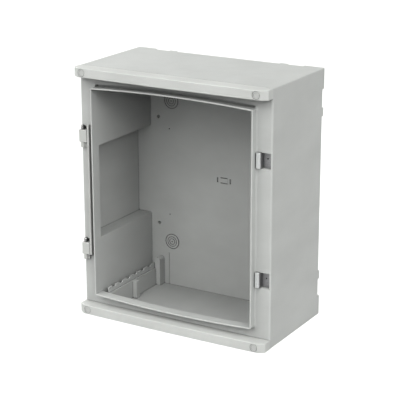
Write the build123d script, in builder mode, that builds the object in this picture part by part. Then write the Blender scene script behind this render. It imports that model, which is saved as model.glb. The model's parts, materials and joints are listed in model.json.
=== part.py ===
"""Wall-mounting meter enclosure with its door off, in millimetres.

A moulded box carries the door collar, two rain visors, the hinge and latch seats,
four depth racks, cable plugs and wall feet. The wall is the plane y = 0 and the front
faces -Y. +Z is up, and the origin is the centre of the four wall-fixing holes.
"""
from build123d import *
import os

# ---- Driving dimensions -------------------------------------------------------------
WIDTH = 460.0
HEIGHT = 550.0
DEPTH = 260.0            # wall to the crown of the visors
WALL = 4.5
EDGE_R = 2.5             # rounding of the long outer edges of the box
FRONT_EDGE_R = 4.0       # rounding of the two upright front edges

VISOR_CROWN = 31.0       # how far the middle of a visor stands in front of the front face
FRONT_Y = VISOR_CROWN - DEPTH
FOOT_H = 8.0             # the feet hold the box this far off the wall
RIM_Y = -FOOT_H          # rear edge of the outer walls
PANEL_SINK = 4.5         # the rear panel sits this far inside that edge
PANEL_BACK_Y = RIM_Y - PANEL_SINK
PANEL_FRONT_Y = PANEL_BACK_Y - WALL

# Inner corner columns: the inside is narrower at the top and the bottom.
COLUMN_FACE_X = 191.0
COLUMN_END_Z = 103.0
COLUMN_WALL = 4.0

# Door collar.
COLLAR_HALF_W = 194.2
COLLAR_HALF_H = 231.7    # at its corners; the top and bottom edges bow out from there
COLLAR_CROWN = 6.0
COLLAR_WALL = 3.2
COLLAR_OUT = 17.0        # in front of the front face
COLLAR_IN = 7.0          # return behind the front face
COLLAR_BASE_R = 5.0
COLLAR_RIM_R = 0.9
GUTTER_X = 191.5         # rain gutter in the front face, along the top of the collar
GUTTER_H = 5.1
GUTTER_DEPTH = 8.0
GUTTER_WALL = 2.5

# Visors, screwed on above and below the front face.
VISOR_H = 20.4
VISOR_END_X = 217.0      # where the ends are cut back
VISOR_END_OUT = 28.5     # reach there
VISOR_SIDE_OUT = 19.0    # reach at the side wall
VISOR_SKIN = 3.0
VISOR_RIB = 3.0
VISOR_LIP_T = 2.0        # thin lip lapped onto the roof
VISOR_LIP_IN = 5.0
VISOR_LIP_X = 206.0
VISOR_LIP_END_X = 221.0
VISOR_LIP_CORNER_R = 25.0
VISOR_EDGE_R = 1.2
VISOR_CORE_X = 190.0
VISOR_CORES = 4
LAP_GAP = 0.9            # open joint line between the lip and the roof

# Visor screws, their brass inserts and their caps.
SCREW_X = 207.0
SCREW_Z = HEIGHT / 2 - VISOR_H / 2
SCREW_R = 2.5
SCREW_HEAD_R = 4.5
SCREW_HEAD_H = 4.0
SCREW_SEAT_OUT = 10.0    # the head bears this far in front of the front face
SCREW_LEN = 24.0
BOSS_R = 6.5
BOSS_LEN = 26.0
SHANK_GAP = 0.25         # round the shank in a clearance hole
INSERT_R = 3.6
INSERT_LEN = 12.0
CAP_R = 7.6
CAP_SEAT_R = 8.4
CAP_T = 2.6
CAP_FRONT_OUT = 29.0
CAP_STEM_R = 4.9
CAP_STEM_LEN = 6.0
CAP_BORE_R = 5.0
CAP_DISH_R = 5.6
CAP_DISH_T = 0.8
CAP_EDGE = 0.4

# Hinge and latch seats, at the same heights left and right.
SEAT_Z = 126.5
SEAT_DEPTH = 12.0        # hinge pockets
LATCH_DEPTH = 12.0       # latch pockets

# Hinge brackets and pins on the left.
HINGE_OUT = 10.0
HINGE_LEFT_X = -WIDTH / 2
HINGE_RIGHT_X = -210.5
HINGE_TOP = 10.0         # above the seat height
HINGE_BOTTOM = 17.0      # below the seat height
LUG_DROP = 11.0
LUG_WEB_W = 14.0
LUG_WEB_X = -221.0
BLOCK_R = 1.5
BLOCK_EDGE = 0.8
PIN_X = -223.0
PIN_OUT = 5.0            # pin axis in front of the front face
PIN_R = 3.0
PIN_BORE_R = 3.05
PIN_HEAD_R = 3.5         # free end, which the door's knuckle turns on
PIN_TOP = 20.0
PIN_FLOOR = 2.5
PIN_EDGE = 0.8
POCKET_X0 = -226.0
POCKET_X1 = -212.0
POCKET_TOP = 17.0
POCKET_SLACK = 1.0       # pocket below the base of the bracket
BASE_H = 26.0            # base pressed into the pocket
BASE_DROP = 4.0          # its middle, below the seat height
FIT = 0.25               # gap between a pressed-in base and its pocket

# Strip between the two hinges.
STRIP_X0 = -210.0
STRIP_X1 = -204.6
STRIP_OUT = 10.0
STRIP_TOP_Z = 148.0
STRIP_BOTTOM_Z = -143.0
STRIP_R = 1.4
STRIP_TONGUE_W = 2.0
STRIP_TONGUE_IN = 2.5
STRIP_TONGUE_L = 256.0
TONGUE_GAP = 0.2

# Latch keepers on the right.
LATCH_X0 = 203.0
LATCH_X1 = 227.0
LATCH_HALF_H = 16.5
KEEPER_TAB_X0 = 196.4
KEEPER_TAB_X1 = 205.6
KEEPER_OUT = 6.0
KEEPER_FLANGE_T = 1.0
KEEPER_SCREW_UP = 2.5      # above the middle of the pocket
LATCH_PLATE_T = 1.0
LATCH_PLATE_X0 = 205.9
LATCH_PLATE_OUT = 4.5
KEEPER_SEAT_IN = 3.0
KEEPER_SEAT_W = 11.8
KEEPER_SEAT_H = 34.5
KEEPER_SEAT_R = 2.2
KEEPER_EDGE_R = 0.9
KEEPER_HOLE_R = 1.75
KEEPER_SCREW_R = 1.5
KEEPER_SCREW_LEN = 6.5
KEEPER_SCREW_SINK = 0.6
KEEPER_BOSS_R = 4.5
KEEPER_BOSS_LEN = 8.0
KEEPER_PILOT_LEN = 6.5
SOCKET_R = 0.8
SOCKET_DEPTH = 2.0
POCKET_WALL = 3.0

# Rear panel.
FIX_X = 170.0
FIX_Z = 125.0
FIX_R = 4.0
FIX_BOSS_R = 9.0
PILOT_X = 141.5
PILOT_Z = 100.5
PILOT_R = 1.5
PILOT_DEPTH = 7.0
PILOT_BOSS_R = 4.5
PILOT_BOSS_LEN = 6.0
PLUG_X = 135.5
PLUG_Z = 165.0
PLUG_HOLE_R = 14.5
PLUG_SEAT_R = 18.3
PLUG_SEAT_DEPTH = 2.0
PLUG_FLANGE_R = 16.3
PLUG_FLANGE_T = 2.8
PLUG_FIT = 0.1
PLUG_BACK_OUT = 1.5
PLUG_RINGS = (12.4, 7.6)
PLUG_RING_W = 1.8
PLUG_RING_DEPTH = 1.6
PLUG_MARK_R = 1.8
PLUG_EDGE = 0.5
CLIP_SLOT_X = 16.0
CLIP_SLOT = (3.6, 11.0)
CLIP_PAD = (17.5, 10.0, 0.4)
CLIP_GROOVE = (17.5, 2.0)
CLIP_SINK = 2.5
RIB_X = 145.0
RIB_W = 1.6
RIB_OUT = 1.6
RIB_H = 77.0

# Stub ribs on the rear edge of the outer walls.
STUB_OUT = 6.5
STUB_W = 18.0
STUB_X = 137.0
STUB_Z = 181.5

# Depth racks, which carry a mounting plate.
RACK_X = 169.0           # inner face of the toothed web
RACK_WEB_T = 3.0
RACK_TOP = 52.5          # toothed ridge, above the floor
RACK_LEDGE_TOP = 40.5    # thicker web and post inboard of the ridge
RACK_LEDGE_W = 4.0
RACK_REAR_GAP = 0.5
NOTCH_PITCH = 29.0
NOTCH_FIRST = 26.6       # behind the front face
NOTCH_COUNT = 6
NOTCH_W = 13.0
NOTCH_DEPTH = 4.5
NOTCH_R = 2.0
RACK_FRONT_GAP = 1.0     # behind the return of the collar
RACK_CUT_BACK = 16.0     # the other three racks start this much further back
POST_AT = 95.0           # behind the front face
POST_D = 13.0
POST_W = 10.0
POST_R = 0.4
TALL_POST_D = 19.0
TALL_POST_W = 14.0
TALL_POST_H = 66.0
TALL_POST_R = 6.0
RACK_FOOT_W = 17.0
RACK_FOOT_T = 3.0
RACK_SCREW_AT = (55.0, 165.0)
RACK_SCREW_R = 1.45
RACK_HOLE_R = 1.9
RACK_SCREW_HEAD_R = 3.6
RACK_SCREW_HEAD_H = 2.2
RACK_SCREW_BITE = 3.2    # into the box, short of coming through
RACK_PILOT_DEPTH = 3.5

# Feet over the open rear ends of the columns.
FOOT_W = 48.0
FOOT_TALL = 45.0
FOOT_SPIGOT_LEN = 9.0
FOOT_SPIGOT_WALL = 2.5
FOOT_SPIGOT_TALL = 38.5

# ---- Derived places -----------------------------------------------------------------
INNER_X = WIDTH / 2 - WALL
INNER_Z = HEIGHT / 2 - WALL
HOLLOW_X0 = COLUMN_FACE_X + COLUMN_WALL
HOLLOW_Z0 = COLUMN_END_Z + COLUMN_WALL
HOLLOW_W = INNER_X - HOLLOW_X0
HOLLOW_H = INNER_Z - HOLLOW_Z0
HOLLOW_X = (INNER_X + HOLLOW_X0) / 2
HOLLOW_Z = (INNER_Z + HOLLOW_Z0) / 2
FRONT_WALL_Y = FRONT_Y + WALL
UNDER_VISOR_Z = HEIGHT / 2 - VISOR_H
PIN_Y = FRONT_Y - PIN_OUT
LATCH_X = (LATCH_X0 + LATCH_X1) / 2
LATCH_W = LATCH_X1 - LATCH_X0
LATCH_PLATE_Y = FRONT_Y + LATCH_DEPTH - KEEPER_FLANGE_T - LATCH_PLATE_T
LATCH_PLATE_W = LATCH_X1 - FIT - LATCH_PLATE_X0
LATCH_PLATE_X = LATCH_PLATE_X0 + LATCH_PLATE_W / 2
KEEPER_SCREW_SPOTS = [(LATCH_X, level * SEAT_Z + KEEPER_SCREW_UP) for level in (1, -1)]
KEEPER_TAB_X = (KEEPER_TAB_X0 + KEEPER_TAB_X1) / 2
KEEPER_WEB_X = (LATCH_X0 + FIT + KEEPER_TAB_X1) / 2
KEEPER_WEB_W = KEEPER_TAB_X1 - LATCH_X0 - FIT
HINGE_X = (HINGE_LEFT_X + HINGE_RIGHT_X) / 2
HINGE_POCKET_X = (POCKET_X0 + POCKET_X1) / 2
HINGE_POCKET_W = POCKET_X1 - POCKET_X0
HINGE_POCKET_Z = (POCKET_TOP - HINGE_BOTTOM - POCKET_SLACK) / 2
HINGE_POCKET_H = POCKET_TOP + HINGE_BOTTOM + POCKET_SLACK
STRIP_X = (STRIP_X0 + STRIP_X1) / 2
STRIP_Z = (STRIP_TOP_Z + STRIP_BOTTOM_Z) / 2
RACK_SCREW_X = RACK_X + RACK_WEB_T + RACK_FOOT_W / 2
FOOT_X = WIDTH / 2 - FOOT_W / 2
FOOT_Z = HEIGHT / 2 - FOOT_TALL / 2
COLLAR_TOP_Z = COLLAR_HALF_H + COLLAR_CROWN
OVERLAP = 0.5            # lets an added feature merge into the wall behind it
NEAR = 0.01              # how close an edge lies to the plane it is picked by

CORNERS = {"top_left": (-1, 1), "top_right": (1, 1), "bottom_left": (-1, -1), "bottom_right": (1, -1)}


def facing_front(y):
    """Sketch plane at depth y, seen from the front: x to the right, z up."""
    return Plane.XZ.offset(-y)


def write_part(piece, name):
    """Label a finished piece and write it as a STEP file."""
    piece.label = name
    export_step(piece, f"parts/{name}.step")


os.makedirs("parts", exist_ok=True)

# ---- Shared outlines ----------------------------------------------------------------
# Door collar: upright sides, with the top and the bottom edge bowed outwards.
with BuildSketch() as collar_outline:
    with BuildLine():
        ThreePointArc(
            (-COLLAR_HALF_W, COLLAR_HALF_H),
            (0, COLLAR_HALF_H + COLLAR_CROWN),
            (COLLAR_HALF_W, COLLAR_HALF_H),
        )
        Line((COLLAR_HALF_W, COLLAR_HALF_H), (COLLAR_HALF_W, -COLLAR_HALF_H))
        ThreePointArc(
            (COLLAR_HALF_W, -COLLAR_HALF_H),
            (0, -COLLAR_HALF_H - COLLAR_CROWN),
            (-COLLAR_HALF_W, -COLLAR_HALF_H),
        )
        Line((-COLLAR_HALF_W, -COLLAR_HALF_H), (-COLLAR_HALF_W, COLLAR_HALF_H))
    make_face()
    fillet(collar_outline.vertices(), COLLAR_WALL + 1.0)

with BuildSketch() as collar_opening:
    add(collar_outline.sketch)
    offset(amount=-COLLAR_WALL, mode=Mode.REPLACE)

# Rain gutter: the strip just above the collar's top edge, following its bow.
with BuildSketch() as gutter_outline:
    add(collar_outline.sketch)
    offset(amount=GUTTER_H, mode=Mode.REPLACE)
    add(collar_outline.sketch, mode=Mode.SUBTRACT)
    with Locations((0, COLLAR_TOP_Z)):
        Rectangle(2 * GUTTER_X, COLLAR_HALF_H, mode=Mode.INTERSECT)

# Visor seen from above, with y = 0 on the front face of the box.
with BuildSketch() as visor_plan:
    with BuildLine():
        ThreePointArc(
            (-VISOR_END_X, -VISOR_END_OUT), (0, -VISOR_CROWN), (VISOR_END_X, -VISOR_END_OUT)
        )
        Line((VISOR_END_X, -VISOR_END_OUT), (WIDTH / 2, -VISOR_SIDE_OUT))
        Line((WIDTH / 2, -VISOR_SIDE_OUT), (WIDTH / 2, 0))
        Line((WIDTH / 2, 0), (-WIDTH / 2, 0))
        Line((-WIDTH / 2, 0), (-WIDTH / 2, -VISOR_SIDE_OUT))
        Line((-WIDTH / 2, -VISOR_SIDE_OUT), (-VISOR_END_X, -VISOR_END_OUT))
    make_face()

# Lip of a visor on the roof, seen from above, from the front face backwards.
with BuildSketch() as lip_plan:
    with BuildLine():
        Line((-VISOR_LIP_END_X, 0), (VISOR_LIP_END_X, 0))
        RadiusArc((VISOR_LIP_END_X, 0), (VISOR_LIP_X, VISOR_LIP_IN), -VISOR_LIP_CORNER_R)
        Line((VISOR_LIP_X, VISOR_LIP_IN), (-VISOR_LIP_X, VISOR_LIP_IN))
        RadiusArc((-VISOR_LIP_X, VISOR_LIP_IN), (-VISOR_LIP_END_X, 0), -VISOR_LIP_CORNER_R)
    make_face()

# ---- Box ----------------------------------------------------------------------------
with BuildPart() as box:
    with BuildSketch(facing_front(RIM_Y)):
        RectangleRounded(WIDTH, HEIGHT, EDGE_R)
    extrude(amount=RIM_Y - FRONT_Y)

    # Rounded upright front edges, between the two visors.
    with BuildSketch(Plane.XY.offset(-UNDER_VISOR_Z)):
        for side in (-1, 1):
            with Locations((side * (WIDTH - FRONT_EDGE_R) / 2, FRONT_Y + FRONT_EDGE_R / 2)):
                Rectangle(FRONT_EDGE_R, FRONT_EDGE_R)
        for side in (-1, 1):
            with Locations((side * (WIDTH / 2 - FRONT_EDGE_R), FRONT_Y + FRONT_EDGE_R)):
                Circle(FRONT_EDGE_R, mode=Mode.SUBTRACT)
    extrude(amount=2 * UNDER_VISOR_Z, mode=Mode.SUBTRACT)

    # Inside: full width in the middle, narrower between the corner columns.
    with BuildSketch(facing_front(PANEL_FRONT_Y)):
        Rectangle(2 * COLUMN_FACE_X, 2 * INNER_Z)
        Rectangle(2 * INNER_X, 2 * COLUMN_END_Z)
    extrude(amount=PANEL_FRONT_Y - FRONT_WALL_Y, mode=Mode.SUBTRACT)

    # Sunk rear panel, and the columns cored out from behind.
    with BuildSketch(facing_front(RIM_Y)):
        Rectangle(2 * INNER_X, 2 * INNER_Z)
    extrude(amount=PANEL_SINK, mode=Mode.SUBTRACT)
    with BuildSketch(facing_front(RIM_Y)):
        with GridLocations(2 * HOLLOW_X, 2 * HOLLOW_Z, 2, 2):
            Rectangle(HOLLOW_W, HOLLOW_H)
    extrude(amount=RIM_Y - FRONT_WALL_Y, mode=Mode.SUBTRACT)

    # Housings behind the hinge and latch seats.
    for seat_z in (SEAT_Z, -SEAT_Z):
        with BuildSketch(facing_front(FRONT_Y + SEAT_DEPTH + POCKET_WALL)):
            with Locations((HINGE_POCKET_X, seat_z + HINGE_POCKET_Z)):
                Rectangle(HINGE_POCKET_W + 2 * POCKET_WALL, HINGE_POCKET_H + 2 * POCKET_WALL)
        extrude(amount=SEAT_DEPTH + POCKET_WALL - WALL + OVERLAP)
        with BuildSketch(facing_front(FRONT_Y + LATCH_DEPTH + POCKET_WALL)):
            with Locations((LATCH_X, seat_z)):
                Rectangle(LATCH_W + 2 * POCKET_WALL, 2 * (LATCH_HALF_H + POCKET_WALL))
        extrude(amount=LATCH_DEPTH + POCKET_WALL - WALL + OVERLAP)
        with BuildSketch(facing_front(FRONT_Y + LATCH_DEPTH + KEEPER_BOSS_LEN)):
            with Locations((LATCH_X, seat_z + KEEPER_SCREW_UP)):
                Circle(KEEPER_BOSS_R)
        extrude(amount=KEEPER_BOSS_LEN)

    # Bosses for the visor screws.
    with BuildSketch(facing_front(FRONT_WALL_Y + BOSS_LEN)):
        with GridLocations(2 * SCREW_X, 2 * SCREW_Z, 2, 2):
            Circle(BOSS_R)
    extrude(amount=BOSS_LEN + OVERLAP)

    # Door collar, with its return behind the front face.
    with BuildSketch(facing_front(FRONT_Y + COLLAR_IN)):
        add(collar_outline.sketch)
    extrude(amount=COLLAR_IN + COLLAR_OUT)
    base_edges = [
        edge
        for edge in box.edges().filter_by_position(Axis.Y, FRONT_Y - NEAR, FRONT_Y + NEAR)
        if abs(edge.center().X) < COLLAR_HALF_W + NEAR and abs(edge.center().Z) < COLLAR_TOP_Z + NEAR
    ]
    fillet(base_edges, COLLAR_BASE_R)
    with BuildSketch(facing_front(FRONT_Y + COLLAR_IN + OVERLAP)):
        add(collar_opening.sketch)
    extrude(amount=COLLAR_IN + COLLAR_OUT + 2 * OVERLAP, mode=Mode.SUBTRACT)
    rim_y = FRONT_Y - COLLAR_OUT
    rim_edges = box.edges().filter_by_position(Axis.Y, rim_y - NEAR, rim_y + NEAR)
    fillet(rim_edges, COLLAR_RIM_R)

    # Rain gutter above the collar, in a thicker stretch of the front wall.
    with BuildSketch(facing_front(FRONT_Y + GUTTER_DEPTH + GUTTER_WALL)):
        with Locations((0, COLLAR_TOP_Z)):
            Rectangle(2 * (GUTTER_X + GUTTER_WALL), 2 * (GUTTER_H + COLLAR_CROWN))
        add(collar_outline.sketch, mode=Mode.SUBTRACT)
    extrude(amount=GUTTER_DEPTH + GUTTER_WALL - WALL + OVERLAP)
    with BuildSketch(facing_front(FRONT_Y + GUTTER_DEPTH)):
        add(gutter_outline.sketch)
    extrude(amount=GUTTER_DEPTH + GUTTER_H, mode=Mode.SUBTRACT)

    # Hinge pockets, latch pockets, and the shallow seats of the keeper tabs.
    for seat_z in (SEAT_Z, -SEAT_Z):
        with BuildSketch(facing_front(FRONT_Y + SEAT_DEPTH)):
            with Locations((HINGE_POCKET_X, seat_z + HINGE_POCKET_Z)):
                Rectangle(HINGE_POCKET_W, HINGE_POCKET_H)
        extrude(amount=SEAT_DEPTH + OVERLAP, mode=Mode.SUBTRACT)
        with BuildSketch(facing_front(FRONT_Y + LATCH_DEPTH)):
            with Locations((LATCH_X, seat_z)):
                Rectangle(LATCH_W, 2 * LATCH_HALF_H)
        extrude(amount=LATCH_DEPTH + OVERLAP, mode=Mode.SUBTRACT)
        with BuildSketch(facing_front(FRONT_Y + KEEPER_SEAT_IN)):
            with Locations((KEEPER_TAB_X, seat_z)):
                RectangleRounded(KEEPER_SEAT_W, KEEPER_SEAT_H, KEEPER_SEAT_R)
        extrude(amount=KEEPER_SEAT_IN + COLLAR_BASE_R, mode=Mode.SUBTRACT)
        with BuildSketch(facing_front(FRONT_Y + LATCH_DEPTH + KEEPER_PILOT_LEN)):
            with Locations((LATCH_X, seat_z + KEEPER_SCREW_UP)):
                Circle(KEEPER_SCREW_R)
        extrude(amount=KEEPER_PILOT_LEN, mode=Mode.SUBTRACT)

    # Groove for the tongue of the hinge strip.
    with BuildSketch(facing_front(FRONT_Y + STRIP_TONGUE_IN)):
        with Locations((STRIP_X, STRIP_Z)):
            Rectangle(STRIP_TONGUE_W, STRIP_TONGUE_L)
    extrude(amount=STRIP_TONGUE_IN, mode=Mode.SUBTRACT)

    # Holes for the visor screws and their inserts.
    with BuildSketch(facing_front(FRONT_Y + SCREW_LEN)):
        with GridLocations(2 * SCREW_X, 2 * SCREW_Z, 2, 2):
            Circle(SCREW_R + SHANK_GAP)
    extrude(amount=SCREW_LEN, mode=Mode.SUBTRACT)
    with BuildSketch(facing_front(FRONT_Y + INSERT_LEN)):
        with GridLocations(2 * SCREW_X, 2 * SCREW_Z, 2, 2):
            Circle(INSERT_R)
    extrude(amount=INSERT_LEN, mode=Mode.SUBTRACT)

    # Rebates in the roof and the underside for the visor lips.
    with BuildSketch(Plane.XY.offset(HEIGHT / 2 - VISOR_LIP_T)):
        with Locations((0, FRONT_Y)):
            add(lip_plan.sketch)
        offset(amount=LAP_GAP)
    extrude(amount=VISOR_LIP_T, mode=Mode.SUBTRACT)
    with BuildSketch(Plane.XY.offset(-HEIGHT / 2)):
        with Locations((0, FRONT_Y)):
            add(lip_plan.sketch)
        offset(amount=LAP_GAP)
    extrude(amount=VISOR_LIP_T, mode=Mode.SUBTRACT)

    # Rear panel: bosses that reach the wall, bosses for the small pilot holes.
    with BuildSketch(facing_front(0)):
        with GridLocations(2 * FIX_X, 2 * FIX_Z, 2, 2):
            Circle(FIX_BOSS_R)
    extrude(amount=-PANEL_BACK_Y + OVERLAP)
    with BuildSketch(facing_front(PANEL_BACK_Y + PILOT_BOSS_LEN)):
        with GridLocations(2 * PILOT_X, 2 * PILOT_Z, 2, 2):
            Circle(PILOT_BOSS_R)
    extrude(amount=PILOT_BOSS_LEN + OVERLAP)
    with BuildSketch(facing_front(OVERLAP)):
        with GridLocations(2 * FIX_X, 2 * FIX_Z, 2, 2):
            Circle(FIX_R)
    extrude(amount=-PANEL_FRONT_Y + 2 * OVERLAP, mode=Mode.SUBTRACT)
    with BuildSketch(facing_front(PANEL_FRONT_Y + PILOT_DEPTH)):
        with GridLocations(2 * PILOT_X, 2 * PILOT_Z, 2, 2):
            Circle(PILOT_R)
    extrude(amount=PILOT_DEPTH, mode=Mode.SUBTRACT)

    # Seats and holes for the cable plugs.
    with BuildSketch(facing_front(PANEL_BACK_Y)):
        with GridLocations(2 * PLUG_X, 2 * PLUG_Z, 2, 2):
            Circle(PLUG_HOLE_R)
    extrude(amount=WALL, mode=Mode.SUBTRACT)
    with BuildSketch(facing_front(PANEL_FRONT_Y + PLUG_SEAT_DEPTH)):
        with GridLocations(2 * PLUG_X, 2 * PLUG_Z, 2, 2):
            Circle(PLUG_SEAT_R)
    extrude(amount=PLUG_SEAT_DEPTH, mode=Mode.SUBTRACT)

    # Clip point in the middle of the rear panel: a raised pad between two upright slots.
    with BuildSketch(facing_front(PANEL_FRONT_Y + OVERLAP)):
        Rectangle(CLIP_PAD[0], CLIP_PAD[1])
    extrude(amount=CLIP_PAD[2] + OVERLAP)
    with BuildSketch(facing_front(PANEL_FRONT_Y + CLIP_SINK)):
        with GridLocations(2 * CLIP_SLOT_X, 0, 2, 1):
            Rectangle(*CLIP_SLOT)
        with GridLocations(0, CLIP_PAD[1] + CLIP_GROOVE[1], 1, 2):
            Rectangle(*CLIP_GROOVE)
    extrude(amount=CLIP_SINK, mode=Mode.SUBTRACT)

    # Thin locating ribs on the rear panel, up from the floor and down from the roof.
    with BuildSketch(facing_front(PANEL_FRONT_Y + OVERLAP)):
        with GridLocations(2 * RIB_X, 2 * INNER_Z - RIB_H, 2, 2):
            Rectangle(RIB_W, RIB_H)
    extrude(amount=RIB_OUT + OVERLAP)

    # Stub ribs on the rear edges of the walls.
    with BuildSketch(facing_front(RIM_Y + STUB_OUT)):
        with GridLocations(2 * STUB_X, HEIGHT - WALL, 2, 2):
            Rectangle(STUB_W, WALL)
        with GridLocations(WIDTH - WALL, 2 * STUB_Z, 2, 2):
            Rectangle(WALL, STUB_W)
    extrude(amount=STUB_OUT + OVERLAP)

    # Pilot holes for the rack screws, short of coming through.
    for level in (-1, 1):
        with BuildSketch(Plane.XY.offset(level * INNER_Z)):
            for rack_x in (-1, 1):
                for at in RACK_SCREW_AT:
                    with Locations((rack_x * RACK_SCREW_X, FRONT_Y + at)):
                        Circle(RACK_SCREW_R)
        extrude(amount=level * RACK_PILOT_DEPTH, mode=Mode.SUBTRACT)
write_part(box.part, "box")

# ---- Visors -------------------------------------------------------------------------
with BuildPart() as visor_top:
    with BuildSketch(Plane.XY.offset(UNDER_VISOR_Z)):
        with Locations((0, FRONT_Y)):
            add(visor_plan.sketch)
    extrude(amount=VISOR_H)
    front_edges = visor_top.edges().filter_by(
        lambda edge: edge.center().Y < FRONT_Y - 1 and abs(edge.tangent_at(0.5).Z) < 0.01
    )
    fillet(front_edges, VISOR_EDGE_R)
    with BuildSketch(Plane.XY.offset(HEIGHT / 2 - VISOR_LIP_T)):
        with Locations((0, FRONT_Y)):
            add(lip_plan.sketch)
    extrude(amount=VISOR_LIP_T)

    # Cored from behind, with ribs between the cores.
    core_w = (2 * VISOR_CORE_X - (VISOR_CORES - 1) * VISOR_RIB) / VISOR_CORES
    with BuildSketch(facing_front(FRONT_Y)):
        with Locations((0, SCREW_Z)):
            with GridLocations(core_w + VISOR_RIB, 0, VISOR_CORES, 1):
                Rectangle(core_w, VISOR_H - 2 * VISOR_SKIN)
    extrude(amount=VISOR_END_OUT - VISOR_SKIN, mode=Mode.SUBTRACT)

    # Screw holes: shank, head and cap seat, each wider than the one behind it.
    for radius, y_from in (
        (SCREW_R + SHANK_GAP, FRONT_Y),
        (CAP_BORE_R, FRONT_Y - SCREW_SEAT_OUT),
        (CAP_SEAT_R, FRONT_Y - CAP_FRONT_OUT + CAP_T),
    ):
        with BuildSketch(facing_front(y_from)):
            with Locations((-SCREW_X, SCREW_Z), (SCREW_X, SCREW_Z)):
                Circle(radius)
        extrude(amount=VISOR_CROWN, mode=Mode.SUBTRACT)
write_part(visor_top.part, "visor_top")

with BuildPart() as visor_bottom:
    add(mirror(visor_top.part, about=Plane.XY, mode=Mode.PRIVATE))
write_part(visor_bottom.part, "visor_bottom")

# ---- Visor screws, inserts and caps -------------------------------------------------
with BuildPart() as visor_screws:
    with BuildSketch(facing_front(FRONT_Y - SCREW_SEAT_OUT + SCREW_LEN)):
        with GridLocations(2 * SCREW_X, 2 * SCREW_Z, 2, 2):
            Circle(SCREW_R)
    extrude(amount=SCREW_LEN)
    with BuildSketch(facing_front(FRONT_Y - SCREW_SEAT_OUT)):
        with GridLocations(2 * SCREW_X, 2 * SCREW_Z, 2, 2):
            Circle(SCREW_HEAD_R)
    extrude(amount=SCREW_HEAD_H)
    with BuildSketch(facing_front(FRONT_Y - SCREW_SEAT_OUT - SCREW_HEAD_H / 2)):
        with GridLocations(2 * SCREW_X, 2 * SCREW_Z, 2, 2):
            RegularPolygon(SCREW_R, 6)
    extrude(amount=SCREW_HEAD_H / 2, mode=Mode.SUBTRACT)
write_part(visor_screws.part, "visor_screws")

with BuildPart() as visor_inserts:
    with BuildSketch(facing_front(FRONT_Y + INSERT_LEN)):
        with GridLocations(2 * SCREW_X, 2 * SCREW_Z, 2, 2):
            Circle(INSERT_R)
            Circle(SCREW_R, mode=Mode.SUBTRACT)
    extrude(amount=INSERT_LEN)
write_part(visor_inserts.part, "visor_inserts")

for corner, (side, level) in CORNERS.items():
    with BuildPart() as cap:
        with BuildSketch(facing_front(FRONT_Y - CAP_FRONT_OUT + CAP_T)):
            with Locations((side * SCREW_X, level * SCREW_Z)):
                Circle(CAP_R)
        extrude(amount=CAP_T)
        with BuildSketch(facing_front(FRONT_Y - CAP_FRONT_OUT + CAP_T + CAP_STEM_LEN)):
            with Locations((side * SCREW_X, level * SCREW_Z)):
                Circle(CAP_STEM_R)
        extrude(amount=CAP_STEM_LEN)
        with BuildSketch(facing_front(FRONT_Y - CAP_FRONT_OUT + CAP_DISH_T)):
            with Locations((side * SCREW_X, level * SCREW_Z)):
                Circle(CAP_DISH_R)
        extrude(amount=CAP_DISH_T, mode=Mode.SUBTRACT)
        chamfer(cap.faces().sort_by(Axis.Y)[0].outer_wire().edges(), CAP_EDGE)
    write_part(cap.part, f"cap_{corner}")

# ---- Hinges -------------------------------------------------------------------------
for place, seat_z in (("upper", SEAT_Z), ("lower", -SEAT_Z)):
    with BuildPart() as hinge_bracket:
        # Block in front of the face.
        with BuildSketch(facing_front(FRONT_Y)):
            with Locations((HINGE_X, seat_z + (HINGE_TOP - HINGE_BOTTOM) / 2)):
                RectangleRounded(HINGE_RIGHT_X - HINGE_LEFT_X, HINGE_TOP + HINGE_BOTTOM, BLOCK_R)
        extrude(amount=HINGE_OUT)
        chamfer(hinge_bracket.faces().sort_by(Axis.Y)[0].edges(), BLOCK_EDGE)
        # Rounded lug below it, which carries the foot of the pin.
        with BuildSketch(Plane.XY.offset(seat_z - HINGE_BOTTOM - LUG_DROP)):
            with Locations((PIN_X, PIN_Y)):
                Circle(PIN_OUT)
            with Locations((LUG_WEB_X, FRONT_Y - PIN_OUT / 2)):
                Rectangle(LUG_WEB_W, PIN_OUT)
        extrude(amount=LUG_DROP + OVERLAP)
        # Base pressed into the pocket of the box.
        with BuildSketch(facing_front(FRONT_Y + SEAT_DEPTH - FIT)):
            with Locations((HINGE_POCKET_X, seat_z - BASE_DROP)):
                Rectangle(HINGE_POCKET_W - 2 * FIT, BASE_H)
        extrude(amount=SEAT_DEPTH - FIT + OVERLAP)
        # Blind bore for the pin.
        with BuildSketch(Plane.XY.offset(seat_z - HINGE_BOTTOM - LUG_DROP + PIN_FLOOR)):
            with Locations((PIN_X, PIN_Y)):
                Circle(PIN_BORE_R)
        extrude(amount=HINGE_TOP + HINGE_BOTTOM + LUG_DROP, mode=Mode.SUBTRACT)
    write_part(hinge_bracket.part, f"hinge_bracket_{place}")

    with BuildPart() as hinge_pin:
        with BuildSketch(Plane.XY.offset(seat_z - HINGE_BOTTOM - LUG_DROP + PIN_FLOOR)):
            with Locations((PIN_X, PIN_Y)):
                Circle(PIN_R)
        extrude(amount=HINGE_TOP + HINGE_BOTTOM + LUG_DROP - PIN_FLOOR)
        with BuildSketch(Plane.XY.offset(seat_z + HINGE_TOP)):
            with Locations((PIN_X, PIN_Y)):
                Circle(PIN_HEAD_R)
        extrude(amount=PIN_TOP - HINGE_TOP)
        chamfer(hinge_pin.faces().sort_by(Axis.Z)[-1].edges(), PIN_EDGE)
    write_part(hinge_pin.part, f"hinge_pin_{place}")

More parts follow.
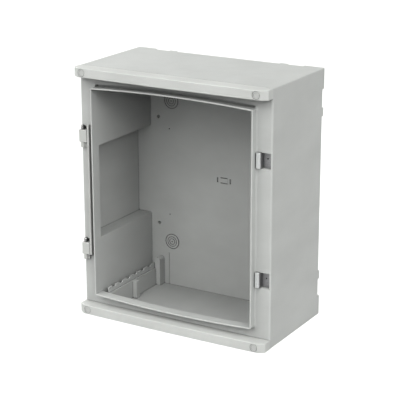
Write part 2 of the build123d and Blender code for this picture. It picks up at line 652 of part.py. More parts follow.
with BuildPart() as hinge_strip:
    with BuildSketch(Plane.XY.offset(STRIP_BOTTOM_Z)):
        with Locations((STRIP_X, FRONT_Y - STRIP_OUT / 2)):
            Rectangle(STRIP_X1 - STRIP_X0, STRIP_OUT)
    extrude(amount=STRIP_TOP_Z - STRIP_BOTTOM_Z)
    fillet(hinge_strip.faces().sort_by(Axis.Y)[0].edges(), STRIP_R)
    with BuildSketch(facing_front(FRONT_Y + STRIP_TONGUE_IN - TONGUE_GAP)):
        with Locations((STRIP_X, STRIP_Z)):
            Rectangle(STRIP_TONGUE_W - TONGUE_GAP, STRIP_TONGUE_L - 2 * TONGUE_GAP)
    extrude(amount=STRIP_TONGUE_IN - TONGUE_GAP + OVERLAP)
write_part(hinge_strip.part, "hinge_strip")

# ---- Latch keepers ------------------------------------------------------------------
for place, seat_z in (("upper", SEAT_Z), ("lower", -SEAT_Z)):
    with BuildPart() as keeper:
        # Flange on the floor of the latch pocket, under the latch plate.
        with BuildSketch(facing_front(FRONT_Y + LATCH_DEPTH)):
            with Locations((LATCH_X, seat_z)):
                Rectangle(LATCH_W - 2 * FIT, 2 * (LATCH_HALF_H - FIT))
        extrude(amount=KEEPER_FLANGE_T)
        # Web up the side of the pocket, and the tab that the latch pulls against.
        with BuildSketch(Plane.XY.offset(seat_z - LATCH_HALF_H + FIT)):
            with Locations((KEEPER_WEB_X, FRONT_Y + (LATCH_DEPTH - KEEPER_OUT) / 2)):
                Rectangle(KEEPER_WEB_W, LATCH_DEPTH + KEEPER_OUT)
            with Locations((KEEPER_TAB_X, FRONT_Y + (KEEPER_SEAT_IN - KEEPER_OUT) / 2)):
                Rectangle(KEEPER_TAB_X1 - KEEPER_TAB_X0, KEEPER_SEAT_IN + KEEPER_OUT)
        extrude(amount=2 * (LATCH_HALF_H - FIT))
        fillet(keeper.faces().sort_by(Axis.Y)[0].edges(), KEEPER_EDGE_R)
        with BuildSketch(facing_front(FRONT_Y + LATCH_DEPTH)):
            with Locations((LATCH_X, seat_z + KEEPER_SCREW_UP)):
                Circle(KEEPER_HOLE_R)
        extrude(amount=KEEPER_FLANGE_T, mode=Mode.SUBTRACT)
    write_part(keeper.part, f"keeper_{place}")

    with BuildPart() as latch_plate:
        # Bent sheet: one leg on the floor of the pocket, the other up the side of the web.
        with BuildSketch(facing_front(LATCH_PLATE_Y + LATCH_PLATE_T)):
            with Locations((LATCH_PLATE_X, seat_z)):
                Rectangle(LATCH_PLATE_W, 2 * (LATCH_HALF_H - FIT))
            with Locations((LATCH_X, seat_z + KEEPER_SCREW_UP)):
                Circle(KEEPER_HOLE_R, mode=Mode.SUBTRACT)
        extrude(amount=LATCH_PLATE_T)
        with BuildSketch(facing_front(LATCH_PLATE_Y + LATCH_PLATE_T)):
            with Locations((LATCH_PLATE_X0 + LATCH_PLATE_T / 2, seat_z)):
                Rectangle(LATCH_PLATE_T, 2 * (LATCH_HALF_H - FIT))
        extrude(amount=LATCH_PLATE_Y + LATCH_PLATE_T - FRONT_Y + LATCH_PLATE_OUT)
    write_part(latch_plate.part, f"latch_plate_{place}")

with BuildPart() as keeper_screws:
    with BuildSketch(facing_front(LATCH_PLATE_Y + KEEPER_SCREW_SINK)):
        with Locations(*KEEPER_SCREW_SPOTS):
            Circle(KEEPER_SCREW_R)
    extrude(amount=-KEEPER_SCREW_LEN)
    with BuildSketch(facing_front(LATCH_PLATE_Y + KEEPER_SCREW_SINK)):
        with Locations(*KEEPER_SCREW_SPOTS):
            RegularPolygon(SOCKET_R, 6)
    extrude(amount=-SOCKET_DEPTH, mode=Mode.SUBTRACT)
write_part(keeper_screws.part, "keeper_screws")

# ---- Depth racks --------------------------------------------------------------------
RACK_REAR_Y = PANEL_FRONT_Y - RACK_REAR_GAP
RACK_FRONT_Y = FRONT_Y + COLLAR_IN + RACK_FRONT_GAP
RACK_NAMES = {
    (-1, -1): "lower_left",
    (1, -1): "lower_right",
    (-1, 1): "upper_left",
    (1, 1): "upper_right",
}

with BuildPart() as lower_right_rack:
    # Toothed ridge, standing on the floor and running from front to back.
    with BuildSketch(Plane.YZ.offset(RACK_X + RACK_LEDGE_W)):
        with Locations(((RACK_FRONT_Y + RACK_REAR_Y) / 2, -INNER_Z + RACK_TOP / 2)):
            Rectangle(RACK_REAR_Y - RACK_FRONT_Y, RACK_TOP)
        for notch in range(NOTCH_COUNT):
            with Locations((FRONT_Y + NOTCH_FIRST + notch * NOTCH_PITCH, -INNER_Z + RACK_TOP)):
                RectangleRounded(NOTCH_W, 2 * NOTCH_DEPTH, NOTCH_R, mode=Mode.SUBTRACT)
    extrude(amount=RACK_WEB_T)
    # Thicker web inboard of the ridge, and not as high.
    with BuildSketch(Plane.YZ.offset(RACK_X)):
        with Locations(((RACK_FRONT_Y + RACK_REAR_Y) / 2, -INNER_Z + RACK_LEDGE_TOP / 2)):
            Rectangle(RACK_REAR_Y - RACK_FRONT_Y, RACK_LEDGE_TOP)
    extrude(amount=RACK_LEDGE_W + OVERLAP)
    # Foot towards the side wall, with two screw holes.
    with BuildSketch(Plane.XY.offset(-INNER_Z)):
        with Locations((RACK_X + (RACK_WEB_T + RACK_FOOT_W) / 2, (RACK_FRONT_Y + RACK_REAR_Y) / 2)):
            Rectangle(RACK_WEB_T + RACK_FOOT_W, RACK_REAR_Y - RACK_FRONT_Y)
        for at in RACK_SCREW_AT:
            with Locations((RACK_SCREW_X, FRONT_Y + at)):
                Circle(RACK_HOLE_R, mode=Mode.SUBTRACT)
    extrude(amount=RACK_FOOT_T)
    # Post halfway back, and a taller one with a round top at the rear panel.
    with BuildSketch(Plane.XY.offset(-INNER_Z)):
        with Locations((RACK_X + OVERLAP - POST_W / 2, FRONT_Y + POST_AT + POST_D / 2)):
            RectangleRounded(POST_W + 2 * OVERLAP, POST_D, POST_R)
    extrude(amount=RACK_LEDGE_TOP)
    with BuildSketch(facing_front(RACK_REAR_Y)):
        with Locations((RACK_X + RACK_WEB_T - TALL_POST_W / 2, -INNER_Z + TALL_POST_H / 2)):
            Rectangle(TALL_POST_W, TALL_POST_H)
    extrude(amount=TALL_POST_D)
    top_edges = lower_right_rack.faces().sort_by(Axis.Z)[-1].edges().filter_by(Axis.Y)
    fillet(top_edges, TALL_POST_R)

for (side, level), name in RACK_NAMES.items():
    with BuildPart() as rack:
        rack_shape = lower_right_rack.part
        if side < 0:
            rack_shape = mirror(rack_shape, about=Plane.YZ, mode=Mode.PRIVATE)
        if level > 0:
            rack_shape = mirror(rack_shape, about=Plane.XY, mode=Mode.PRIVATE)
        add(rack_shape)
        if name != "lower_left":
            with BuildSketch(facing_front(RACK_FRONT_Y + RACK_CUT_BACK)):
                with Locations((side * RACK_X, level * INNER_Z)):
                    Rectangle(4 * RACK_FOOT_W, 3 * RACK_TOP)
            extrude(amount=2 * RACK_CUT_BACK, mode=Mode.SUBTRACT)
    write_part(rack.part, f"rack_{name}")

with BuildPart() as rack_screws:
    for level in (-1, 1):
        seat = level * (INNER_Z - RACK_FOOT_T)
        for rack_x in (-1, 1):
            for at in RACK_SCREW_AT:
                spot = (rack_x * RACK_SCREW_X, FRONT_Y + at)
                with BuildSketch(Plane.XY.offset(seat)):
                    with Locations(spot):
                        Circle(RACK_SCREW_HEAD_R)
                extrude(amount=-level * RACK_SCREW_HEAD_H)
                with BuildSketch(Plane.XY.offset(seat)):
                    with Locations(spot):
                        Circle(RACK_SCREW_R)
                extrude(amount=level * (RACK_FOOT_T + RACK_SCREW_BITE))
write_part(rack_screws.part, "rack_screws")

# ---- Cable plugs --------------------------------------------------------------------
PLUG_FACE_Y = PANEL_FRONT_Y + PLUG_SEAT_DEPTH - PLUG_FLANGE_T

for corner, (side, level) in CORNERS.items():
    with BuildPart() as plug:
        with BuildSketch(facing_front(PANEL_FRONT_Y + PLUG_SEAT_DEPTH)):
            with Locations((side * PLUG_X, level * PLUG_Z)):
                Circle(PLUG_FLANGE_R)
        extrude(amount=PLUG_FLANGE_T)
        with BuildSketch(facing_front(PANEL_BACK_Y + PLUG_BACK_OUT)):
            with Locations((side * PLUG_X, level * PLUG_Z)):
                Circle(PLUG_HOLE_R - PLUG_FIT)
        extrude(amount=WALL + PLUG_BACK_OUT)
        # Rings and a centre mark on the face.
        with BuildSketch(facing_front(PLUG_FACE_Y + PLUG_RING_DEPTH)):
            with Locations((side * PLUG_X, level * PLUG_Z)):
                for ring_r in PLUG_RINGS:
                    Circle(ring_r)
                    Circle(ring_r - PLUG_RING_W, mode=Mode.SUBTRACT)
                Circle(PLUG_MARK_R)
        extrude(amount=PLUG_RING_DEPTH, mode=Mode.SUBTRACT)
        chamfer(plug.faces().sort_by(Axis.Y)[0].outer_wire().edges(), PLUG_EDGE)
    write_part(plug.part, f"cable_plug_{corner}")

# ---- Wall feet ----------------------------------------------------------------------
for corner, (side, level) in CORNERS.items():
    with BuildPart() as foot:
        with BuildSketch(facing_front(0)):
            with Locations((side * FOOT_X, level * FOOT_Z)):
                RectangleRounded(FOOT_W, FOOT_TALL, EDGE_R)
        extrude(amount=FOOT_H)
        # Hollow spigot pressed into the open end of the column.
        spigot_w = HOLLOW_W - 2 * FIT
        with BuildSketch(facing_front(RIM_Y)):
            with Locations((side * HOLLOW_X, level * (INNER_Z - FIT - FOOT_SPIGOT_TALL / 2))):
                Rectangle(spigot_w, FOOT_SPIGOT_TALL)
                offset(amount=-FOOT_SPIGOT_WALL, mode=Mode.SUBTRACT)
        extrude(amount=FOOT_SPIGOT_LEN)
    write_part(foot.part, f"foot_{corner}")
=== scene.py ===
# %% [markdown]
# # A wall box for a meter, finished in Blender
#
# The box is a moulded plastic enclosure with its door taken off. Its exact shapes come from a
# CAD model, which is loaded here as a fixed frame. The lesson adds what CAD leaves out: the
# finish of each material, the threads and recesses of the small screws, the light and the camera.

import json
import math

import bmesh
import bpy
from mathutils import Matrix, Vector


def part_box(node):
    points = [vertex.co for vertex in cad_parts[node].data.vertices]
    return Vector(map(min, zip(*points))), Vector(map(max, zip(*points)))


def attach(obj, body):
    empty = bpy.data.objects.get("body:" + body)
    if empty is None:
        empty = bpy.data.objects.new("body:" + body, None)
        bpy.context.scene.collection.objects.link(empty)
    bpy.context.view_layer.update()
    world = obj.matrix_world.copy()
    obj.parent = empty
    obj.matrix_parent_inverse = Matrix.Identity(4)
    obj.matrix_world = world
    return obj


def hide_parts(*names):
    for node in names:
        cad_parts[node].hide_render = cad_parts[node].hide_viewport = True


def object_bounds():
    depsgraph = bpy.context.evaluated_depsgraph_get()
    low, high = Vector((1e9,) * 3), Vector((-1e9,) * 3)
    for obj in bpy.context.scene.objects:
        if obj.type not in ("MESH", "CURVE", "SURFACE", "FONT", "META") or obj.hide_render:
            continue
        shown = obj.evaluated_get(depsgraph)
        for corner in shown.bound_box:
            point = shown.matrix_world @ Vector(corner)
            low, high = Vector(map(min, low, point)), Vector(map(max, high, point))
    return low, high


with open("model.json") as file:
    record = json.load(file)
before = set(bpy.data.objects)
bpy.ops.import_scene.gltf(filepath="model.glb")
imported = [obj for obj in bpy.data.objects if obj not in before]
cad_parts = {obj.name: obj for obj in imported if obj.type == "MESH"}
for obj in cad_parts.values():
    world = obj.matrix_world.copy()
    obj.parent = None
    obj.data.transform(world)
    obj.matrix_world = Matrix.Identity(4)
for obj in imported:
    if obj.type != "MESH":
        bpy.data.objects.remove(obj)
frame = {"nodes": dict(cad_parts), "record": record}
cad_low, cad_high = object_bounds()
nodes = frame["nodes"]
print("pieces from CAD:", len(nodes))
print("overall size in metres:", [round(h - l, 4) for l, h in zip(cad_low, cad_high)])

# %% [markdown]
# ## A few short helpers for shader nodes
#
# A procedural material is a small network. Every network here starts from Object coordinates,
# which are metres on the real thing, so a grain of 0.3 mm is 0.3 mm on every piece. The helpers
# only save typing: one adds a node, one joins two sockets, and one makes a noise pattern.

# %% Shader helpers
def add(tree, kind, **settings):
    made = tree.nodes.new(kind)
    for name, value in settings.items():
        setattr(made, name, value)
    return made


def join(tree, source, target):
    tree.links.new(source, target)


def start_material(name):
    material = bpy.data.materials.new(name)
    material.use_nodes = True
    tree = material.node_tree
    place = add(tree, "ShaderNodeTexCoord").outputs["Object"]
    return material, tree, tree.nodes["Principled BSDF"], place


def noise(tree, place, scale, detail=2.0, stretch=None):
    if stretch:
        mapping = add(tree, "ShaderNodeMapping")
        mapping.inputs["Scale"].default_value = stretch
        join(tree, place, mapping.inputs["Vector"])
        place = mapping.outputs["Vector"]
    made = add(tree, "ShaderNodeTexNoise")
    made.inputs["Scale"].default_value = scale
    made.inputs["Detail"].default_value = detail
    join(tree, place, made.inputs["Vector"])
    return made.outputs["Fac"]


def remap(tree, value, low, high, new_low, new_high):
    made = add(tree, "ShaderNodeMapRange")
    made.inputs["From Min"].default_value = low
    made.inputs["From Max"].default_value = high
    made.inputs["To Min"].default_value = new_low
    made.inputs["To Max"].default_value = new_high
    join(tree, value, made.inputs["Value"])
    return made.outputs["Result"]


def maths(tree, operation, first, second):
    made = add(tree, "ShaderNodeMath", operation=operation)
    for socket, value in zip(made.inputs, (first, second)):
        if isinstance(value, (int, float)):
            socket.default_value = value
        else:
            join(tree, value, socket)
    return made.outputs["Value"]


def blend_colour(tree, amount, first, second):
    made = add(tree, "ShaderNodeMix", data_type="RGBA")
    join(tree, amount, made.inputs["Factor"])
    for name, value in (("A", first), ("B", second)):
        socket = [s for s in made.inputs if s.name == name and s.type == "RGBA"][0]
        if isinstance(value, tuple):
            socket.default_value = (*value, 1.0)
        else:
            join(tree, value, socket)
    return [s for s in made.outputs if s.type == "RGBA"][0]


print("helpers ready")

# %% [markdown]
# ## Rounded edges, worn edges and painted shade in grooves
#
# No moulded corner is perfectly sharp. The Bevel node bends the shading normal near an edge as
# if the edge had a small radius, so every edge catches a thin line of light without any change
# to the mesh. Comparing that bent normal with the true one also finds the edges, which is where
# handling polishes and bleaches plastic first. Narrow grooves, joints and bores get painted shade:
# the Ambient Occlusion node measures how much of the sky a point is cut off from within a few
# millimetres, and the colour is darkened there as a painted stand-in for contact shadows.

# %% Edge helpers
def soft_edges(tree, radius):
    bevel = add(tree, "ShaderNodeBevel", samples=6)
    bevel.inputs["Radius"].default_value = radius
    true_normal = add(tree, "ShaderNodeNewGeometry").outputs["Normal"]
    turned = add(tree, "ShaderNodeVectorMath", operation="DOT_PRODUCT")
    join(tree, bevel.outputs["Normal"], turned.inputs[0])
    join(tree, true_normal, turned.inputs[1])
    edge = remap(tree, turned.outputs["Value"], 0.80, 0.995, 1.0, 0.0)
    return bevel.outputs["Normal"], edge


# Painted shade: darkens the colour where nearby surfaces close off the sky, in grooves, joints and
# bores.
def painted_crevice_shade(tree, colour, reach, darkest):
    hidden = add(tree, "ShaderNodeAmbientOcclusion", samples=8)
    hidden.inputs["Distance"].default_value = reach
    open_sky = remap(tree, hidden.outputs["AO"], 0.25, 0.80, darkest, 1.0)
    dimmed = add(tree, "ShaderNodeVectorMath", operation="SCALE")
    join(tree, colour, dimmed.inputs[0])
    join(tree, open_sky, dimmed.inputs["Scale"])
    return dimmed.outputs["Vector"]


def bumps(tree, shader, height, strength, distance, normal=None):
    made = add(tree, "ShaderNodeBump")
    made.inputs["Strength"].default_value = strength
    made.inputs["Distance"].default_value = distance
    join(tree, height, made.inputs["Height"])
    if normal is not None:
        join(tree, normal, made.inputs["Normal"])
    join(tree, made.outputs["Normal"], shader.inputs["Normal"])


print("edge helpers ready")

# %% [markdown]
# ## Moulded plastic
#
# The box, visors, caps and small mouldings are one family of light grey plastic. Up close such
# a moulding has a fine sparked grain from the tool, faint cloudy flow marks, and patches that
# are a little glossier where hands and packing have rubbed. Four noises of very different size
# make those, and each moulding gets its own mix, because they come from different tools.

# %% Plastic
FLOW_SCALE = 9.0
SPECK_SCALE = 900.0
PATCH_SCALE = 55.0
RUB_SCALE = 26.0
SPARK_SCALE = 1500.0
FINE_SCALE = 2600.0
DUSTY = 0.93
BLEACHED = 1.12
WEAR = 0.22
# Reach and depth of the painted shade in grooves and recesses.
CREVICE_SHADE_REACH = 0.0042
CREVICE_SHADE_DARKEST = 0.26
GRAIN_DEPTH = 0.0002
PLASTIC_IOR = 1.49


def moulded_plastic(name, colour, roughness, grain=0.10, cloud=0.025, edge_radius=0.0004):
    material, tree, shader, place = start_material(name)
    darker = tuple(c * (1.0 - cloud * 2.0) for c in colour)
    lighter = tuple(min(1.0, c * (1.0 + cloud)) for c in colour)
    flow = noise(tree, place, FLOW_SCALE, 4.0, (1.0, 0.6, 1.6))
    speck = noise(tree, place, SPECK_SCALE, 1.0)
    body = blend_colour(tree, remap(tree, flow, 0.35, 0.65, 0.0, 1.0), darker, lighter)
    dusty = tuple(c * DUSTY for c in colour)
    body = blend_colour(tree, remap(tree, speck, 0.60, 0.78, 0.0, 0.35), body, dusty)
    normal, edge = soft_edges(tree, edge_radius)
    patchy = remap(tree, noise(tree, place, PATCH_SCALE, 3.0), 0.42, 0.62, 0.15, 1.0)
    worn = maths(tree, "MULTIPLY", maths(tree, "MULTIPLY", edge, patchy), WEAR)
    pale = tuple(min(1.0, c * BLEACHED) for c in colour)
    worn_body = blend_colour(tree, worn, body, pale)
    # The colour is darkened in grooves and recesses here: painted shade, not dirt.
    join(tree, painted_crevice_shade(tree, worn_body, CREVICE_SHADE_REACH, CREVICE_SHADE_DARKEST), shader.inputs["Base Color"])
    rubbed = noise(tree, place, RUB_SCALE, 5.0)
    gloss = remap(tree, rubbed, 0.30, 0.72, roughness - 0.07, roughness + 0.08)
    smoothed = maths(tree, "MULTIPLY", worn, 0.5)
    join(tree, maths(tree, "SUBTRACT", gloss, smoothed), shader.inputs["Roughness"])
    spark = add(tree, "ShaderNodeTexVoronoi", feature="SMOOTH_F1")
    spark.inputs["Scale"].default_value = SPARK_SCALE
    join(tree, place, spark.inputs["Vector"])
    fine = noise(tree, place, FINE_SCALE, 2.0)
    height = maths(tree, "ADD", maths(tree, "MULTIPLY", spark.outputs["Distance"], 0.7), fine)
    bumps(tree, shader, height, grain, GRAIN_DEPTH, normal)
    shader.inputs["IOR"].default_value = PLASTIC_IOR
    print("plastic:", name, [round(c, 3) for c in colour])
    return material


housing_plastic = moulded_plastic("housing_plastic", (0.560, 0.575, 0.560), 0.46)
visor_plastic = moulded_plastic("visor_plastic", (0.620, 0.635, 0.615), 0.44, grain=0.08)
cap_plastic = moulded_plastic("cap_plastic", (0.600, 0.612, 0.595), 0.36, grain=0.04)
hinge_plastic = moulded_plastic("hinge_plastic", (0.590, 0.600, 0.580), 0.40, grain=0.06)
keeper_plastic = moulded_plastic("keeper_plastic", (0.700, 0.722, 0.715), 0.36, grain=0.05)
plug_plastic = moulded_plastic("plug_plastic", (0.570, 0.580, 0.565), 0.52, grain=0.06)
foot_plastic = moulded_plastic("foot_plastic", (0.545, 0.560, 0.545), 0.50, grain=0.12)

# %% [markdown]
# ## Plated steel and brass
#
# The hinge pins and screws are zinc-plated steel: a cool grey metal with a soft bloom and fine
# rings left by the lathe. A noise squeezed hard along one axis makes those rings. The threaded
# inserts in the bosses are turned brass. The plates in the latch pockets are duller sheet, where
# the same network with long streaks stands for the direction in which the sheet was rolled.

# %% Metals
BLOOM_SCALE = 320.0
METAL_EDGE = 0.00025
RING_DEPTH = 0.00005
RING_STRENGTH = 0.12


def turned_metal(name, colour, tarnish, roughness, ring_stretch):
    material, tree, shader, place = start_material(name)
    shader.inputs["Metallic"].default_value = 1.0
    bloom = remap(tree, noise(tree, place, BLOOM_SCALE, 4.0), 0.38, 0.66, 0.0, 1.0)
    normal, edge = soft_edges(tree, METAL_EDGE)
    bright = tuple(min(1.0, c * 1.2) for c in colour)
    shine = blend_colour(tree, maths(tree, "MULTIPLY", edge, 0.5), colour, bright)
    dulled = blend_colour(tree, maths(tree, "MULTIPLY", bloom, 0.55), shine, tarnish)
    join(tree, dulled, shader.inputs["Base Color"])
    rings = noise(tree, place, 1.0, 2.0, ring_stretch)
    uneven = maths(tree, "ADD", maths(tree, "MULTIPLY", rings, 0.5), maths(tree, "MULTIPLY", bloom, 0.5))
    gloss = remap(tree, uneven, 0.2, 0.8, roughness - 0.08, roughness + 0.14)
    join(tree, gloss, shader.inputs["Roughness"])
    bumps(tree, shader, rings, RING_STRENGTH, RING_DEPTH, normal)
    print("metal:", name)
    return material


ALL_WAYS = (2500.0, 2500.0, 2500.0)
UP_THE_PIN = (120.0, 120.0, 9000.0)
DOWN_THE_BORE = (200.0, 6000.0, 200.0)
ROLLED = (1800.0, 1800.0, 60.0)
zinc_pin = turned_metal("zinc_pin", (0.66, 0.67, 0.66), (0.47, 0.48, 0.47), 0.30, UP_THE_PIN)
zinc_screw = turned_metal("zinc_screw", (0.64, 0.65, 0.63), (0.44, 0.45, 0.42), 0.32, ALL_WAYS)
insert_brass = turned_metal("insert_brass", (0.78, 0.60, 0.28), (0.50, 0.36, 0.16), 0.34,
                            DOWN_THE_BORE)
# Near-black steel for the keeper screws: a painted shade that stands for the dark of the screw holes in
# the latch pockets.
painted_shade_black_steel = turned_metal("painted_shade_black_steel", (0.045, 0.045, 0.048), (0.030, 0.029, 0.030), 0.42,
                           ALL_WAYS)
sheet_zinc = turned_metal("sheet_zinc", (0.68, 0.68, 0.69), (0.52, 0.52, 0.54), 0.50, ROLLED)

# %% [markdown]
# ## Painting the CAD pieces
#
# Each CAD piece keeps its mesh. Only the material in its slot changes, chosen by the slot name
# that the record gives to the piece.

# %% Assign the finishes
FINISHES = {
    "housing": housing_plastic,
    "visor": visor_plastic,
    "cap_plastic": cap_plastic,
    "hinge_plastic": hinge_plastic,
    "keeper_plastic": keeper_plastic,
    "plug_plastic": plug_plastic,
    "foot_plastic": foot_plastic,
    "steel": zinc_pin,
    "insert_brass": insert_brass,
    "latch_plate_steel": sheet_zinc,
    "blackened_steel": painted_shade_black_steel,
}
for part in frame["record"]["subparts"]:
    piece = nodes[part["node"]]
    piece.data.materials.clear()
    piece.data.materials.append(FINISHES[part["material_slot"]])

# %% [markdown]
# ## Turning a screw
#
# CAD keeps the screws as plain pegs, because threads would only slow it down. A real screw is
# turned on a lathe, and so is this one: half of its outline is spun once round the axis. The
# outline stops at the rim of the head, which leaves a round hole there. A hexagon with as many
# points as the rim is bridged to it and pushed in, and that makes the socket for the key.

# %% Lathe and socket
MM = 0.001
AROUND = 24
KEY_SIDES = 6


def turn(mesh, outline, around=AROUND):
    points = [mesh.verts.new((r * MM, 0.0, h * MM)) for r, h in outline]
    lines = [mesh.edges.new(pair) for pair in zip(points, points[1:])]
    bmesh.ops.spin(mesh, geom=points + lines, cent=(0, 0, 0), axis=(0, 0, 1), dvec=(0, 0, 0),
                   angle=math.tau, steps=around, use_merge=True)
    bmesh.ops.remove_doubles(mesh, verts=mesh.verts, dist=0.01 * MM)


def sink_socket(mesh, key_r, top, depth):
    turned = set(mesh.verts)
    rim = [e for e in mesh.edges if e.is_boundary]
    bmesh.ops.create_circle(mesh, segments=KEY_SIDES, radius=key_r * MM)
    sides = [e for e in mesh.edges if e.is_wire]
    bmesh.ops.subdivide_edges(mesh, edges=sides, cuts=AROUND // KEY_SIDES - 1)
    loop = [v for v in mesh.verts if v not in turned]
    bmesh.ops.translate(mesh, verts=loop, vec=(0, 0, top * MM))
    mouth = [e for e in mesh.edges if e.is_wire]
    bmesh.ops.bridge_loops(mesh, edges=rim + mouth)
    pushed = bmesh.ops.extrude_edge_only(mesh, edges=mouth)["geom"]
    bmesh.ops.translate(mesh, verts=[v for v in pushed if isinstance(v, bmesh.types.BMVert)],
                        vec=(0, 0, -depth * MM))
    bmesh.ops.holes_fill(mesh, edges=[e for e in pushed if isinstance(e, bmesh.types.BMEdge)])


print("lathe ready,", AROUND, "steps round")

# %% [markdown]
# ## Cutting the thread
#
# A thread is a small triangle that climbs as it goes round. Spin can do that too: it takes a
# distance to move along the axis at each step. The triangle sinks a little into the shank, so
# the ridge and the shank read as one solid. All copies of a screw go into one mesh, because
# they are one node in the CAD, and that mesh stands in for the node.

# %% Thread and copies
RIDGE_HALF = 0.42
RIDGE_SUNK = 0.25
HEAD_EDGE = 0.35


def wind_thread(mesh, shank_r, crest_r, start, end, pitch, steps=16):
    half = pitch * RIDGE_HALF
    inner = shank_r - RIDGE_SUNK
    corners = [(inner, start - half), (crest_r, start), (inner, start + half)]
    ridge = mesh.faces.new([mesh.verts.new((r * MM, 0.0, h * MM)) for r, h in corners])
    turns = (end - start) / pitch
    bmesh.ops.spin(mesh, geom=[ridge, *ridge.edges, *ridge.verts], cent=(0, 0, 0), axis=(0, 0, 1),
                   dvec=(0, 0, pitch * MM / steps), angle=math.tau * turns, steps=round(turns * steps))


def socket_screw(head_r, head_h, crest_r, length, key_r, key_depth, pitch):
    mesh = bmesh.new()
    core = crest_r - pitch * RIDGE_HALF
    edge = min(HEAD_EDGE, head_h * 0.2)
    turn(mesh, [(0.0, -length), (core * 0.55, -length), (core, -length + core * 0.6), (core, 0.0),
                (head_r, 0.0), (head_r, head_h - edge), (head_r - edge, head_h)])
    sink_socket(mesh, key_r, head_h, key_depth)
    wind_thread(mesh, core, crest_r, -length + core + pitch, -pitch * 1.1, pitch)
    bmesh.ops.recalc_face_normals(mesh, faces=mesh.faces)
    return mesh


def place_copies(name, made, places, finish, node):
    single = bpy.data.meshes.new(name + "_one")
    made.to_mesh(single)
    made.free()
    whole = bmesh.new()
    for spot, toward in places:
        turned = Vector(toward).to_track_quat("Z", "X").to_matrix().to_4x4()
        first = len(whole.verts)
        whole.from_mesh(single)
        whole.verts.ensure_lookup_table()
        placed = Matrix.Translation(spot) @ turned
        bmesh.ops.transform(whole, matrix=placed, verts=whole.verts[first:])
    bpy.data.meshes.remove(single)
    data = bpy.data.meshes.new(name)
    whole.to_mesh(data)
    whole.free()
    piece = bpy.data.objects.new(name, data)
    bpy.context.scene.collection.objects.link(piece)
    data.materials.append(finish)
    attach(piece, "enclosure")
    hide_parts(node)
    print(name, ":", len(places), "copies,", len(data.polygons), "faces")


def middle(node):
    low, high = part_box(node)
    return (Vector(low) + Vector(high)) / 2


# %% [markdown]
# ## The screws of the box
#
# Each screw takes its place from the pieces round it. A visor screw is under a cap, so it has
# the cap's axis. A keeper screw is in the middle of its node's width, one radius in from each
# end. A rack screw stands on the foot of its rack, and its place comes from its own node. All
# sizes that go to the lathe are in millimetres, and become metres there.

# %% Visor screws
CAPS = ("cap_top_left", "cap_top_right", "cap_bottom_left", "cap_bottom_right")
FORWARD = (0.0, -1.0, 0.0)
VISOR_HEAD_H = 4.0


def behind_caps(y):
    return [(Vector((middle(cap).x, y, middle(cap).z)), FORWARD) for cap in CAPS]


visor_low, visor_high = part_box("visor_screws")
visor_seat_y = visor_low[1] + VISOR_HEAD_H * MM
visor_screw = socket_screw(head_r=4.5, head_h=VISOR_HEAD_H, crest_r=2.5, key_r=2.5, key_depth=2.0,
                           pitch=0.8, length=(visor_high[1] - visor_seat_y) / MM)
place_copies("visor_screw_set", visor_screw, behind_caps(visor_seat_y), zinc_screw,
             "visor_screws")

# %% Keeper screws
KEEPER_HEAD_H = 0.6
keeper_low, keeper_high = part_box("keeper_screws")
keeper_r = (keeper_high[0] - keeper_low[0]) / 2
keeper_x = (keeper_low[0] + keeper_high[0]) / 2
keeper_seat_y = keeper_low[1] + KEEPER_HEAD_H * MM
keeper_places = [(Vector((keeper_x, keeper_seat_y, z)), FORWARD)
                 for z in (keeper_high[2] - keeper_r, keeper_low[2] + keeper_r)]
keeper_screw = socket_screw(head_r=1.5, head_h=KEEPER_HEAD_H, crest_r=1.45, key_r=1.0,
                            key_depth=1.8, pitch=0.5, length=(keeper_high[1] - keeper_seat_y) / MM)
# The keeper screws get the near-black finish, painted shade for the dark screw holes.
place_copies("keeper_screw_set", keeper_screw, keeper_places, painted_shade_black_steel,
             "keeper_screws")

# %% Rack screws
RACK_HEAD_R = 3.6
RACK_FOOT_T = 3.0
rack_low, rack_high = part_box("rack_screws")
foot_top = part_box("rack_lower_right")[0][2] + RACK_FOOT_T * MM
rack_x = rack_high[0] - RACK_HEAD_R * MM
rack_rows = (rack_low[1] + RACK_HEAD_R * MM, rack_high[1] - RACK_HEAD_R * MM)
rack_places = [(Vector((x, y, -up * foot_top)), (0.0, 0.0, -up))
               for up in (-1.0, 1.0) for x in (-rack_x, rack_x) for y in rack_rows]
rack_screw = socket_screw(head_r=RACK_HEAD_R, head_h=2.2, crest_r=1.45, key_r=1.7, key_depth=1.4,
                          pitch=0.6, length=(foot_top - rack_low[2]) / MM)
place_copies("rack_screw_set", rack_screw, rack_places, zinc_screw, "rack_screws")

# %% [markdown]
# ## The brass inserts
#
# A screw that is undone now and then would wear a plastic boss out, so a brass sleeve is pressed
# into it. Its outside is knurled in two bands, to grip the plastic. The ring is turned like the
# screws, from a closed outline this time, and then every other point of the bands is pulled in.

# %% Inserts
BORE_R = 2.55
GROOVE = 0.35
KNURL = 0.25
insert_low, insert_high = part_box("visor_inserts")
insert_r = insert_high[0] / MM - middle("cap_top_right").x / MM
insert_len = (insert_high[1] - insert_low[1]) / MM


def knurled_insert(outer, length, around=60):
    mesh = bmesh.new()
    half = length / 2
    turn(mesh, [(BORE_R, 0.0), (outer - GROOVE, 0.0), (outer, -GROOVE), (outer, GROOVE * 3 - half),
                (outer - GROOVE, GROOVE * 2 - half), (outer - GROOVE, -GROOVE * 2 - half),
                (outer, -GROOVE * 3 - half), (outer, GROOVE - length), (outer - GROOVE, -length),
                (BORE_R, -length), (BORE_R, 0.0)], around)
    for point in mesh.verts:
        spoke = round(math.atan2(point.co.y, point.co.x) / math.tau * around)
        if spoke % 2 and point.co.xy.length > (outer - 0.01) * MM:
            point.co.xy *= (outer - KNURL) / outer
    bmesh.ops.recalc_face_normals(mesh, faces=mesh.faces)
    return mesh


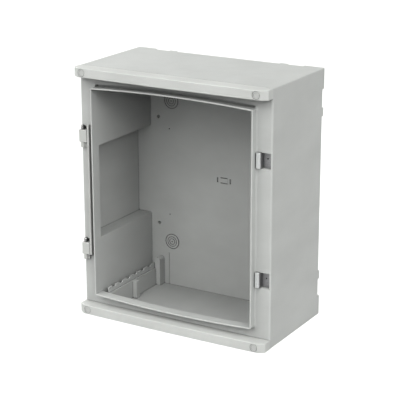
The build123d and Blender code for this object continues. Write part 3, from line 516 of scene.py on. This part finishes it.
place_copies("visor_insert_set", knurled_insert(insert_r, insert_len), behind_caps(insert_low[1]),
             insert_brass, "visor_inserts")

# %% [markdown]
# ## Floor and light
#
# The box is shown the way a catalogue shows it: on white, in broad soft light from all round. It
# hangs on a wall in use, so the floor is well below it. Sun lamps with a very
# wide angle are as soft as big panels, and light the whole floor evenly. Most of them are stopped
# from bouncing, so that the inside of the box falls away into shade. The sky adds very little
# light, and looks white behind the box.

# %% Floor
FLOOR_DROP = 1.20
FLOOR_R = 40.0
floor_mesh = bmesh.new()
bmesh.ops.create_circle(floor_mesh, cap_ends=True, segments=96, radius=FLOOR_R)
bmesh.ops.translate(floor_mesh, verts=floor_mesh.verts, vec=(0.0, 0.0, cad_low[2] - FLOOR_DROP))
floor_data = bpy.data.meshes.new("studio_floor")
floor_mesh.to_mesh(floor_data)
floor_mesh.free()
floor = bpy.data.objects.new("studio_floor", floor_data)
bpy.context.scene.collection.objects.link(floor)
floor_paint, tree, shader, place = start_material("studio_floor_paint")
shade = remap(tree, noise(tree, place, 3.0, 3.0), 0.3, 0.7, 0.0, 1.0)
paint = blend_colour(tree, shade, (0.93, 0.93, 0.93), (0.95, 0.95, 0.95))
join(tree, paint, shader.inputs["Base Color"])
shader.inputs["Roughness"].default_value = 0.9
floor_data.materials.append(floor_paint)
print("floor is", FLOOR_DROP, "m below the box")

# %% Sky
SKY_STRENGTH = 0.03
world = bpy.data.worlds.new("studio_sky")
bpy.context.scene.world = world
world.use_nodes = True
sky_tree = world.node_tree
sky = sky_tree.nodes["Background"]
sky.inputs["Color"].default_value = (0.97, 0.985, 1.0, 1.0)
sky.inputs["Strength"].default_value = SKY_STRENGTH
world.cycles.max_bounces = 1
white = add(sky_tree, "ShaderNodeBackground")
white.inputs["Color"].default_value = (1.0, 1.0, 1.0, 1.0)
seen = add(sky_tree, "ShaderNodeLightPath")
either = add(sky_tree, "ShaderNodeMixShader")
join(sky_tree, seen.outputs["Is Camera Ray"], either.inputs["Fac"])
join(sky_tree, sky.outputs["Background"], either.inputs[1])
join(sky_tree, white.outputs["Background"], either.inputs[2])
join(sky_tree, either.outputs["Shader"], sky_tree.nodes["World Output"].inputs["Surface"])
bpy.context.scene.view_settings.view_transform = "Standard"
print("sky strength", SKY_STRENGTH)

# %% Broad lights
WARM_WHITE = (1.0, 0.998, 0.99)


def broad_light(name, azimuth, elevation, strength, bounces=0, width=60.0):
    sun = bpy.data.lights.new(name, "SUN")
    sun.energy = strength * math.pi
    sun.angle = math.radians(width)
    sun.color = WARM_WHITE
    sun.cycles.max_bounces = bounces
    sun.cycles.use_multiple_importance_sampling = False
    lamp = bpy.data.objects.new(name, sun)
    bpy.context.scene.collection.objects.link(lamp)
    across, up = math.radians(azimuth), math.radians(elevation)
    level = math.cos(up)
    away = Vector((math.sin(across) * level, -math.cos(across) * level, math.sin(up)))
    lamp.rotation_euler = away.to_track_quat("Z", "Y").to_euler()
    print("light:", name, "from", azimuth, "degrees round and", elevation, "up, strength", strength)


broad_light("front_low", 0, 10, 0.100)
broad_light("front_right", 30, 35, 0.280)
broad_light("front_left", -30, 45, 0.520)
broad_light("left_fill", -75, 30, 0.330)
broad_light("right_fill", 75, 35, 0.630, bounces=1)
broad_light("rear_fill", -120, 8, 0.90, width=40.0)

# %% [markdown]
# ## Camera
#
# The view is from the right and a little above, through a long lens, so upright edges stay
# nearly parallel.

# %% Camera
lens = bpy.data.cameras.new("studio_camera")
lens.lens = 125.076
lens.sensor_width = 36.0
camera = bpy.data.objects.new("studio_camera", lens)
bpy.context.scene.collection.objects.link(camera)
camera.location = (1.45578, -2.57625, 0.87080)
camera.rotation_euler = (1.26942, 0.00196, 0.53466)
bpy.context.scene.camera = camera
print("camera at", [round(v, 3) for v in camera.location], "lens", lens.lens, "mm")
